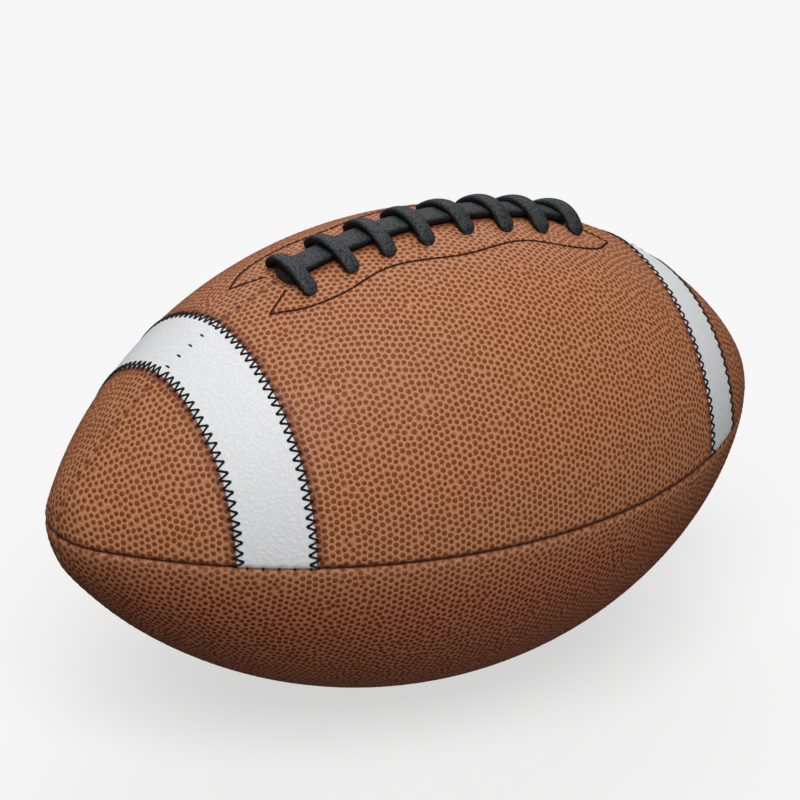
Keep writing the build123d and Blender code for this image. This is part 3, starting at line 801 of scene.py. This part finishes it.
def pebbled_leather():
    """Dark pebbles in a tan net with a lighter ridge, both redder and darker low on the ball as painted
    shade.
    """
    f = Finish("pebbled_leather")
    height = f.node("ShaderNodeSeparateXYZ", None, {0: f.place()}, 2)
    # Painted shade: redder and darker colours below the middle of the ball.
    low = 1 - f.step(height, (AXIS_HEIGHT - SHADED_LOW_REACH) * MM, AXIS_HEIGHT * MM)
    offset = f.attribute("pebble_offset", 1)
    gap = f.node("ShaderNodeVectorMath", {"operation": "LENGTH"}, {0: offset}, 1)
    tone = f.attribute("pebble_tone", 2)
    share = f.attribute("pebble_share", 2)
    seam = f.attribute("seam_gap", 2)
    blotch = f.noise(30.0, 3.0)
    fine = f.noise(0.5, 3.0, 0.6)
    shade_marks = f.attribute("painted_seam_shade", 2)
    wear_and_highlight = f.attribute("seam_wear_and_highlight", 2)
    wander = f.noise(1.6, 1.0)
    reach = 0.87 + (tone - 0.5) * 0.25 + (fine - 0.5) * 0.3 + (wander - 0.5) * 0.45
    # Dots fade near the bottom panels' seams: wear, and a painted highlight on the rolled edge.
    dot = (1 - f.step(gap / reach, 0.74, 1.12)) * (1 - 0.55 * wear_and_highlight)
    ridge = f.step(share, 0.70, 1.0)
    # Painted shade in the seam grooves and at the painted shade marks, in a dark red brown.
    seam_shade = 1 - (1 - 0.9 * shade_marks) * f.step(seam + (wander - 0.5) * 2.0, SEAM_SHADE_FROM, SEAM_SHADE_TO)
    valley = f.mix(low, (0.388, 0.155, 0.072), (0.385, 0.132, 0.060))
    net = f.mix(ridge * 0.8, valley, f.mix(low, (0.570, 0.283, 0.156), (0.570, 0.245, 0.132)))
    warm = f.mix(f.step(blotch, 0.35, 0.65), (0.160, 0.036, 0.005), (0.178, 0.034, 0.005))
    light = f.mix(low, (0.215, 0.056, 0.010), (0.176, 0.025, 0.002))
    pebble = f.mix(tone, f.mix(low, warm, (0.138, 0.015, 0.001)), light)
    colour = f.mix(seam_shade * 0.9, f.mix(dot, net, pebble), (0.085, 0.012, 0.003))
    return f.surface({"Base Color": colour, "Roughness": 0.50 + 0.16 * fine - 0.06 * dot,
                      "Specular IOR Level": 0.2, "Normal": f.bump(fine, 0.05, 0.6)})


def stripe_leather():
    """White strip with a fine grain."""
    f = Finish("stripe_leather")
    grain = f.cells(1.4)
    fine = f.noise(0.6, 2.0)
    shade = f.step(grain, 0.1, 0.75)
    colour = f.mix(shade * 0.4, (0.77, 0.785, 0.795), (0.66, 0.68, 0.695))
    return f.surface({"Base Color": colour, "Roughness": 0.50 + 0.12 * fine, "Specular IOR Level": 0.25,
                      "Normal": f.bump(1 - shade + fine * 0.3, 0.12, 0.7)})


def lace_leather():
    """Charcoal lace with a coarse grain, painted shade on its lower flanks, and painted shade darkening it
    towards its right end.
    """
    f = Finish("lace_leather")
    grain = f.cells(0.85)
    fine = f.noise(0.7, 3.0, 0.6)
    blotch = f.noise(3.2, 2.0)
    flank_shade = f.attribute("painted_flank_shade", 2)
    ridge = 1 - f.step(grain, 0.30, 0.72)
    # Painted shade: the lace darkens from left to right along the ball.
    along = f.node("ShaderNodeSeparateXYZ", None, {0: f.place()}, 0)
    fade = f.step(along, -LACE_SHADE_REACH * MM, LACE_SHADE_REACH * MM)
    light = f.mix(fade, (0.058, 0.065, 0.072), (0.034, 0.038, 0.043))
    face = f.mix(ridge * 0.7 + blotch * 0.3, (0.008, 0.009, 0.011), light)
    # Painted shade on the lower flanks, nearly black.
    colour = f.mix(flank_shade * 0.92, face, (0.003, 0.003, 0.004))
    return f.surface({"Base Color": colour, "Roughness": 0.5 + 0.2 * fine - 0.08 * ridge + 0.2 * flank_shade,
                      "Specular IOR Level": 0.25, "Normal": f.bump(ridge + 0.4 * fine, 0.13, 0.8)})


def dark_thread(name, colour, light):
    """Waxed thread with its twist."""
    f = Finish(name)
    twist = f.noise(0.45, 2.0)
    return f.surface({"Base Color": f.mix(twist, colour, light), "Roughness": 0.6 + 0.15 * twist,
                      "Specular IOR Level": 0.08, "Normal": f.bump(twist, 0.12, 0.6)})


def woven_cloth():
    """Cotton of the lining, facings and tongue."""
    f = Finish("lining_cloth")
    weave = f.cells(0.8, 0.15)
    colour = f.mix(weave, (0.62, 0.58, 0.50), (0.48, 0.44, 0.37))
    return f.surface({"Base Color": colour, "Roughness": 0.85 + 0.1 * weave,
                      "Normal": f.bump(weave, 0.15)})


def soft_rubber(name, colour, light):
    """Matt rubber with a dusty bloom."""
    f = Finish(name)
    dust = f.noise(2.5, 4.0, 0.6)
    bloom = f.mix(f.step(dust, 0.4, 0.7), colour, light)
    return f.surface({"Base Color": bloom, "Roughness": 0.62 + 0.2 * dust,
                      "Normal": f.bump(dust, 0.06)})


leather = pebbled_leather()
white = stripe_leather()
charcoal = lace_leather()
zigzag_thread = dark_thread("zigzag_thread", (0.006, 0.006, 0.008), (0.022, 0.022, 0.026))
facing_thread = dark_thread("facing_thread", (0.024, 0.007, 0.004), (0.052, 0.017, 0.009))
seam_thread = dark_thread("seam_thread", (0.008, 0.007, 0.008), (0.024, 0.022, 0.024))
cloth = woven_cloth()
bladder_rubber = soft_rubber("bladder_rubber", (0.014, 0.014, 0.015), (0.034, 0.033, 0.033))
valve_rubber = soft_rubber("valve_rubber", (0.012, 0.012, 0.013), (0.040, 0.040, 0.041))

slot_finish = {"lining_cloth": cloth, "bladder_rubber": bladder_rubber, "valve_rubber": valve_rubber,
               "thread": seam_thread, "panel_leather": leather, "stripe_leather": white,
               "lace_leather": charcoal}
for part in frame["record"]["subparts"]:
    node = frame["nodes"].get(part["node"])
    if node is not None:
        node.data.materials.clear()
        node.data.materials.append(slot_finish[part["material_slot"]])


# Panels
def valve_opening(s, turn, shrink=False):
    """Ring of points round the valve hole, and which places lie inside it."""
    out = PANEL_RADIUS + AXIS_SHIFT
    gap = np.hypot(s, (turn - math.pi / 4) * out)
    angles = np.linspace(0, 2 * math.pi, VALVE_SIDES, endpoint=False)
    ring_s, ring_turn = [], []
    for radius in (VALVE_HOLE, (VALVE_HOLE + VALVE_LIP) / 2):
        ring_s.append(radius * np.cos(angles))
        ring_turn.append(math.pi / 4 + radius * np.sin(angles) / out)
    inside = gap < (VALVE_HOLE * VALVE_INSIDE_SHARE if shrink else VALVE_LIP)
    return np.concatenate(ring_s), np.concatenate(ring_turn), inside


turn_front = np.eye(3)
turn_back = np.diag([1.0, -1.0, 1.0])
turn_bottom_front = np.array([[1.0, 0, 0], [0, 0, -1.0], [0, 1.0, 0]])
turn_bottom_back = np.diag([1.0, -1.0, -1.0])
tip_s = meridian_end - TIP_MARGIN

lace_stretches = [(-tip_s, -stripe_s[-1][1]), (-stripe_s[-1][0], stripe_s[1][0]), (stripe_s[1][1], tip_s)]
panels = {
    "lace_panel_front": (turn_front, lace_stretches, True, None, 11),
    "lace_panel_back": (turn_back, lace_stretches, True, valve_opening, 21),
    "bottom_panel_front": (turn_bottom_front, [(-tip_s, tip_s)], False, None, 31),
    "bottom_panel_back": (turn_bottom_back, [(-tip_s, tip_s)], False, None, 41),
}
for node, (matrix, stretches, laced, opening, seed) in panels.items():
    patches = []
    for k, (s_from, s_to) in enumerate(stretches):
        hole = opening if s_from * s_to < 0 else None
        patches.append(pebble_patch(s_from, s_to, seed + k, laced, hole))
    pebbled_panel(f"{node}_leather", node, patches, matrix, leather, laced)


# Stripes
def stripe_mesh(side):
    """White strip on the front lace panel, its edges turned down."""
    edges = STRIPE_EDGE_SHARES
    across = np.concatenate([edges[:2], np.linspace(edges[2], edges[3], STRIPE_ROWS), edges[4:]])
    edge_lift = np.interp(across, edges, STRIPE_EDGE_LIFTS) * STRIPE_RAISE
    inner_s, outer_s = stripe_s[side]
    s_rows = side * (inner_s + across * (outer_s - inner_s))
    points = []
    columns = STRIPE_COLUMNS + 2 * len(STRIPE_SEAM_STEPS)
    for s, lift in zip(s_rows, edge_lift):
        out = float(profile(np.array(s))[1])
        first = float(seam_turn(np.array(out)))
        low = first + STRIPE_SEAM_MARGIN / out
        high = math.pi / 2 - first - STRIPE_SEAM_MARGIN / out
        head = [first + step / out for step in STRIPE_SEAM_STEPS]
        tail = [math.pi / 2 - first - step / out for step in reversed(STRIPE_SEAM_STEPS)]
        turns = np.concatenate([head, np.linspace(low, high, STRIPE_COLUMNS), tail])
        points.append(panel_surface(np.full(columns, s), turns, lift, seam_share=STRIPE_SEAM_SHARE)[0])
    points = np.concatenate(points)
    faces = []
    for r in range(len(s_rows) - 1):
        for c in range(columns - 1):
            a = r * columns + c
            quad = (a, a + 1, a + columns + 1, a + columns)
            faces.append(quad if side < 0 else tuple(reversed(quad)))
    return points, faces


def zigzag_paths(ends):
    """Slanting stitches between their ends, each sunk into the leather there."""
    paths = []
    for (s0, t0), (s1, t1) in zip(ends, ends[1:]):
        s = s0 + (s1 - s0) * ZIGZAG_SHARES
        turn = t0 + (t1 - t0) * ZIGZAG_SHARES
        paths.append(panel_surface(s, turn, ZIGZAG_LIFTS, seam_share=STRIPE_SEAM_SHARE)[0])
    return paths


def both_sides(name, node, points, faces, material, twin=mirrored):
    """A piece of the front side and its twin at the back."""
    for side, shape in (("front", (points, faces)), ("back", twin(points, faces))):
        piece = new_piece(name.format(side), *shape, material)
        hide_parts(node.format(side))


for end, side in (("left", -1), ("right", 1)):
    points, faces = stripe_mesh(side)
    both_sides(f"stripe_strip_{{}}_{end}", f"stripe_{{}}_{end}", points, faces, white)
    for edge in ("inner", "outer"):
        points, faces = tubes(zigzag_paths(zigzags[side, edge]), ZIGZAG_RADIUS * ZIGZAG_SWELL)
        node = f"stripe_thread_{{}}_{end}_{edge}"
        both_sides(f"zigzag_{{}}_{end}_{edge}", node, points, faces, zigzag_thread)


# Facing stitches
def plan_to_surface(plan, lift):
    """Points of the front lace panel over plan points, raised by lift."""
    radius = np.sqrt(np.maximum(big_arc**2 - plan[:, 0] ** 2, 0)) - big_drop + AXIS_SHIFT
    turn = np.arcsin((shift_c - plan[:, 1]) / radius)
    point, normal = panel_surface(s_at(plan[:, 0]), turn)
    return point + normal * (lift - lacing_dip(point))[:, None]


def facing_paths():
    """Short stitches end to end along the facing's line."""
    length = np.concatenate([[0], np.cumsum(np.linalg.norm(np.diff(facing_plan, axis=0), axis=1))])
    count = int(length[-1] / FACING_STITCH)
    paths = []
    for k in range(count):
        spots = (k + FACING_STITCH_SHARES) * length[-1] / count
        plan = np.stack([np.interp(spots, length, facing_plan[:, c]) for c in (0, 1)], -1)
        paths.append(plan_to_surface(plan, FACING_STITCH_LIFTS))
    return paths


points, faces = tubes(facing_paths(), FACING_THREAD_RADIUS)
both_sides("facing_stitches_{}", "facing_thread_{}", points, faces, facing_thread, turned_round)


# Lace and strap
def ribbon(path, sides, outs, half_widths, tops, depths, squareness, count, crown=0.0, taper=0.0):
    """Soft-edged band along a path: width along sides, tops and depths of its faces along outs, and the
    share of painted shade on its lower flanks.
    """
    angles = np.linspace(0, 2 * math.pi, count, endpoint=False)
    round_x = np.sign(np.cos(angles)) * np.abs(np.cos(angles)) ** (2 / squareness)
    round_y = np.sign(np.sin(angles)) * np.abs(np.sin(angles)) ** (2 / squareness)
    round_y = np.where(round_y > 0, round_y - crown * round_x**2, round_y)
    flank_shade = np.tile(np.clip(1 - (round_y - FLANK_SHADE_FROM) / (FLANK_SHADE_TO - FLANK_SHADE_FROM), 0, 1), len(path))
    points, faces = [], []
    for spot, side, face, half_width, top, depth in zip(path, sides, outs, half_widths, tops, depths):
        for x, y in zip(round_x, round_y):
            high = top * y if y > 0 else depth * y
            narrow = 1 - taper * max(-y, 0) * max(depth / top - 1, 0)
            points.append(spot + side * (half_width * x * narrow) + face * high)
    for k in range(len(path) - 1):
        for n in range(count):
            a, b = k * count + n, k * count + (n + 1) % count
            faces.append((a, a + count, b + count, b))
    faces.append(tuple(range(count)))
    faces.append(tuple((len(path) - 1) * count + n for n in reversed(range(count))))
    return np.array([list(p) for p in points]), faces, flank_shade


def bar_line(lift):
    """One bar across the seam: places across and out of the ball, width shares and depths below."""
    bend_out = LACE_HOLE - LACE_BEND
    rise = LACE_RISE + lift - LACE_THICKNESS / 2 - LACE_BEND + LACE_BEND_DROP
    arc = (bend_out**2 + rise**2) / (2 * rise) + LACE_BEND
    lean = math.asin(bend_out / (arc - LACE_BEND))
    top = LACE_RISE + lift - LACE_THICKNESS / 2
    line = []
    for k in range(LACE_ARC_STEPS + 1):
        angle = lean * k / LACE_ARC_STEPS
        line.append((arc * math.sin(angle), top - arc * (1 - math.cos(angle)), 1.0))
    bend_y, bend_z = (arc - LACE_BEND) * math.sin(lean), -LACE_BEND_DROP
    for k in range(1, LACE_BEND_STEPS + 1):
        angle = lean + (math.pi / 2 - lean) * k / LACE_BEND_STEPS
        share = math.sqrt(1 - (LACE_TIP_ROUND * k / LACE_BEND_STEPS) ** 2)
        line.append((bend_y + LACE_BEND * math.sin(angle), bend_z + LACE_BEND * math.cos(angle), share))
    for drop in LACE_LEG_DROPS:
        line.append((LACE_HOLE, -drop, share))
    full = []
    for y, z, share in line:
        below = -y * shift_c / (PANEL_RADIUS + AXIS_SHIFT) - y**2 / (2 * (PANEL_RADIUS + AXIS_SHIFT))
        over = STRAP_SEAT + STRAP_THICKNESS if y < STRAP_WIDTH / 2 - STRAP_EDGE_MARGIN else below
        full.append((y, z, share, min(max(z - over, LACE_THICKNESS / 2), LACE_KEEL)))
    back = []
    for y, z, share, depth in full[1:]:
        reach = min(y / LACE_HOLE, 1)
        narrow = 1 - LACE_BACK_NARROW * reach
        back.append((y, z - LACE_BACK_SAG * reach, share * narrow, LACE_THICKNESS / 2))
    return [(-y, z, share, depth) for y, z, share, depth in reversed(full)] + back


def lace_route():
    """Points, half widths and depths of the whole lace, with the slanting runs inside the ball."""
    route, widths, depths = [], [], []
    for k, x in enumerate(bar_places):
        near, far, short = LACE_NEAR_SHIFTS[k], LACE_FAR_SHIFTS[k], LACE_NEAR_SHORTS[k]
        for y, z, share, depth in bar_line(LACE_LIFTS[k]):
            along = x + near + (far - near) * (y + LACE_HOLE) / (2 * LACE_HOLE)
            route.append(lacing_point(along, y * (1 - short / LACE_HOLE) if y < 0 else y, z))
            widths.append(LACE_WIDTH / 2 * share)
            depths.append(depth)
        if k + 1 < len(bar_places):
            ahead = bar_places[k + 1] + LACE_NEAR_SHIFTS[k + 1]
            for share in LACE_RUN_SHARES:
                along = x + far + (ahead - x - far) * share
                route.append(lacing_point(along, LACE_HOLE * (1 - 2 * share), -LACE_UNDER))
                widths.append(LACE_WIDTH / 2)
                depths.append(LACE_THICKNESS / 2)
    return route, widths, depths


def lace_mesh():
    """The lace as one soft band that twists a little in its runs."""
    route, widths, depths = lace_route()
    sides, outs = [], []
    for k in range(len(route)):
        ahead = (route[min(k + 1, len(route) - 1)] - route[max(k - 1, 0)]).normalized()
        side = Vector((1, 0, 0))
        side = (side - ahead * side.dot(ahead)).normalized()
        sides.append(side)
        outs.append(side.cross(ahead).normalized())
    tops = [LACE_THICKNESS / 2] * len(route)
    return ribbon(route, sides, outs, widths, tops, depths, LACE_SQUARENESS, LACE_SIDES,
                  taper=LACE_KEEL_TAPER)


def strap_mesh():
    """The strap along the seam, its ends turned down into the ball."""
    middle = STRAP_SEAT + STRAP_THICKNESS / 2
    path, outs = [], []
    for k in range(STRAP_STEPS + 1):
        x = -STRAP_REACH + 2 * STRAP_REACH * k / STRAP_STEPS
        path.append(lacing_point(x, 0, middle))
    for k in range(1, STRAP_BEND_STEPS + 1):
        angle = math.pi / 2 * k / STRAP_BEND_STEPS
        path.append(end_point(STRAP_BEND * math.sin(angle), middle - STRAP_BEND * (1 - math.cos(angle))))
    path.append(end_point(STRAP_BEND, middle - STRAP_BEND - STRAP_LEG))
    left = [Vector((-p.x, p.y, p.z)) for p in reversed(path[STRAP_STEPS + 1:])]
    path = left + path
    sides = [Vector((0, -1, 0))] * len(path)
    for k in range(len(path)):
        ahead = (path[min(k + 1, len(path) - 1)] - path[max(k - 1, 0)]).normalized()
        outs.append(ahead.cross(Vector((0, -1, 0))) * -1)
    half = [STRAP_THICKNESS / 2] * len(path)
    wide = [STRAP_WIDTH / 2] * len(path)
    return ribbon(path, sides, outs, wide, half, half, STRAP_SQUARENESS, STRAP_SIDES,
                  crown=STRAP_CROWN_SHARE)


def end_point(along, out):
    """Point past the right end of the strap's straight run, along the seam there and out of the ball."""
    base = lacing_point(STRAP_REACH, 0, 0)
    ahead, behind = (lacing_point(STRAP_REACH + step, 0, 0) for step in (TANGENT_STEP, -TANGENT_STEP))
    tangent = (ahead - behind).normalized()
    normal = Vector((-tangent.z, 0, tangent.x))
    return base + tangent * along + normal * out


def softened(piece):
    """Rounds a piece's mesh."""
    smooth = piece.modifiers.new("soften", "SUBSURF")
    smooth.levels = smooth.render_levels = 1
    return piece


for name, node, (points, faces, flank_shade) in (("lace_band", "lace", lace_mesh()),
                                         ("lace_strap_band", "lace_strap", strap_mesh())):
    band = softened(new_piece(name, points, faces, charcoal))
    # The lower flanks take painted shade.
    add_values(band.data, "painted_flank_shade", "POINT", "FLOAT", "value", flank_shade)
    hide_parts(node)


# Stitch ticks that show in the seams
def tick_paths(places, reach, depth):
    """Short threads across the lace seam at places along the ball."""
    paths = []
    for s in places:
        x, out, _ = profile(np.array(s))
        height = math.sqrt((float(out) - depth) ** 2 - shift_c**2) - shift_c
        bow = zip(TICK_SHARES, TICK_SAGS)
        paths.append([(float(x), reach * share, height - sag) for share, sag in bow])
    return paths


stripe_places = []
for side, (inner, outer) in stripe_s.items():
    steps = range(int(inner / STITCH_PITCH) + 1, int((outer - ZIGZAG_ON_STRIPE) / STITCH_PITCH) + 1)
    stripe_places += [side * k * STITCH_PITCH for k in steps]
turn_back_seam = np.array([[1.0, 0, 0], [0, 0, 1.0], [0, -1.0, 0]])
tick_turns = {"lace": turn_front, "front": turn_bottom_front, "back": turn_back_seam}
for name, matrix in tick_turns.items():
    reach, depth, radius = TICK_SIZES[name]
    points, faces = tubes(tick_paths(stripe_places, reach, depth), radius)
    ticks = new_piece(f"seam_stitches_{name}", points @ matrix.T, faces, seam_thread)


# Floor, light and camera
def pale_stage(name, base, glow):
    """Plain pale studio surface that shows only soft shadows."""
    f = Finish(name)
    paint = f.mix(f.noise(FLOOR_BLOTCH), (base,) * 3, (base * FLOOR_VARIATION,) * 3)
    return f.surface({"Base Color": paint, "Roughness": 0.9, "Specular IOR Level": 0.0,
                      "Emission Color": (1.0, 1.0, 1.0, 1.0), "Emission Strength": glow})


def stage_piece(name, points, faces, material):
    """Floor or backdrop, which neither lights nor shades the ball."""
    mesh = bpy.data.meshes.new(name)
    mesh.from_pydata(points, [], faces)
    mesh.materials.append(material)
    piece = bpy.data.objects.new(name, mesh)
    bpy.context.scene.collection.objects.link(piece)
    piece.visible_diffuse = piece.visible_glossy = piece.visible_shadow = False


corner_angles = [2 * math.pi * k / FLOOR_SIDES for k in range(FLOOR_SIDES)]
ring = [(FLOOR_REACH * math.cos(angle), FLOOR_REACH * math.sin(angle)) for angle in corner_angles]
wall_points = [(x, y, z) for z in (0, FLOOR_REACH) for x, y in ring]
wall_faces = []
for k in range(FLOOR_SIDES):
    ahead = (k + 1) % FLOOR_SIDES
    wall_faces.append((k, ahead, ahead + FLOOR_SIDES, k + FLOOR_SIDES))
floor_paint = pale_stage("pale_floor", FLOOR_BASE, FLOOR_GLOW)
stage_piece("floor", [(x, y, 0) for x, y in ring], [tuple(range(FLOOR_SIDES))], floor_paint)
stage_piece("backdrop", wall_points, wall_faces, pale_stage("pale_backdrop", BACKDROP_BASE, BACKDROP_GLOW))
for name, way, power, spread in (("overhead_light", OVERHEAD_FROM, OVERHEAD_POWER, OVERHEAD_SPREAD),
                                 ("rear_light", REAR_FROM, REAR_POWER, REAR_SPREAD),
                                 ("front_light", FRONT_FROM, FRONT_POWER, FRONT_SPREAD)):
    lamp = bpy.data.lights.new(name, "SUN")
    lamp.energy, lamp.angle = power, spread
    hung = bpy.data.objects.new(name, lamp)
    hung.rotation_euler = Vector(way).to_track_quat("Z", "Y").to_euler()
    bpy.context.scene.collection.objects.link(hung)
world = bpy.data.worlds.new("studio")
world.use_nodes = True
world.node_tree.nodes["Background"].inputs["Color"].default_value = (1.0, 1.0, 1.0, 1.0)
world.node_tree.nodes["Background"].inputs["Strength"].default_value = STUDIO_GLOW
bpy.context.scene.world = world
bpy.context.scene.view_settings.view_transform = "Standard"

back = Vector((math.sin(VIEW_AZIMUTH) * math.cos(VIEW_ELEVATION),
               -math.cos(VIEW_AZIMUTH) * math.cos(VIEW_ELEVATION), math.sin(VIEW_ELEVATION)))
level = Vector((math.cos(VIEW_AZIMUTH), math.sin(VIEW_AZIMUTH), 0))
upright = back.cross(level)
view_x = level * math.cos(VIEW_ROLL) + upright * math.sin(VIEW_ROLL)
view_y = upright * math.cos(VIEW_ROLL) - level * math.sin(VIEW_ROLL)
straight = Matrix((view_x, view_y, back))
ball_right = BALL_PIXEL[0] - FRAME_PIXELS / 2
ball_up = FRAME_PIXELS / 2 - BALL_PIXEL[1]
ball_way = Vector((ball_right / FOCAL_PIXELS, ball_up / FOCAL_PIXELS, -1))
turned = Vector((0, 0, -1)).rotation_difference(ball_way).to_matrix() @ straight
lens = bpy.data.cameras.new("camera")
lens.sensor_width, lens.lens = SENSOR, FOCAL_PIXELS / FRAME_PIXELS * SENSOR
lens.clip_end = FARTHEST_VIEW
camera = bpy.data.objects.new("camera", lens)
camera_spot = (back * VIEW_DISTANCE + Vector((0, 0, AXIS_HEIGHT))) * MM
camera.matrix_world = Matrix.Translation(camera_spot) @ turned.transposed().to_4x4()
bpy.context.scene.collection.objects.link(camera)
bpy.context.scene.camera = camera
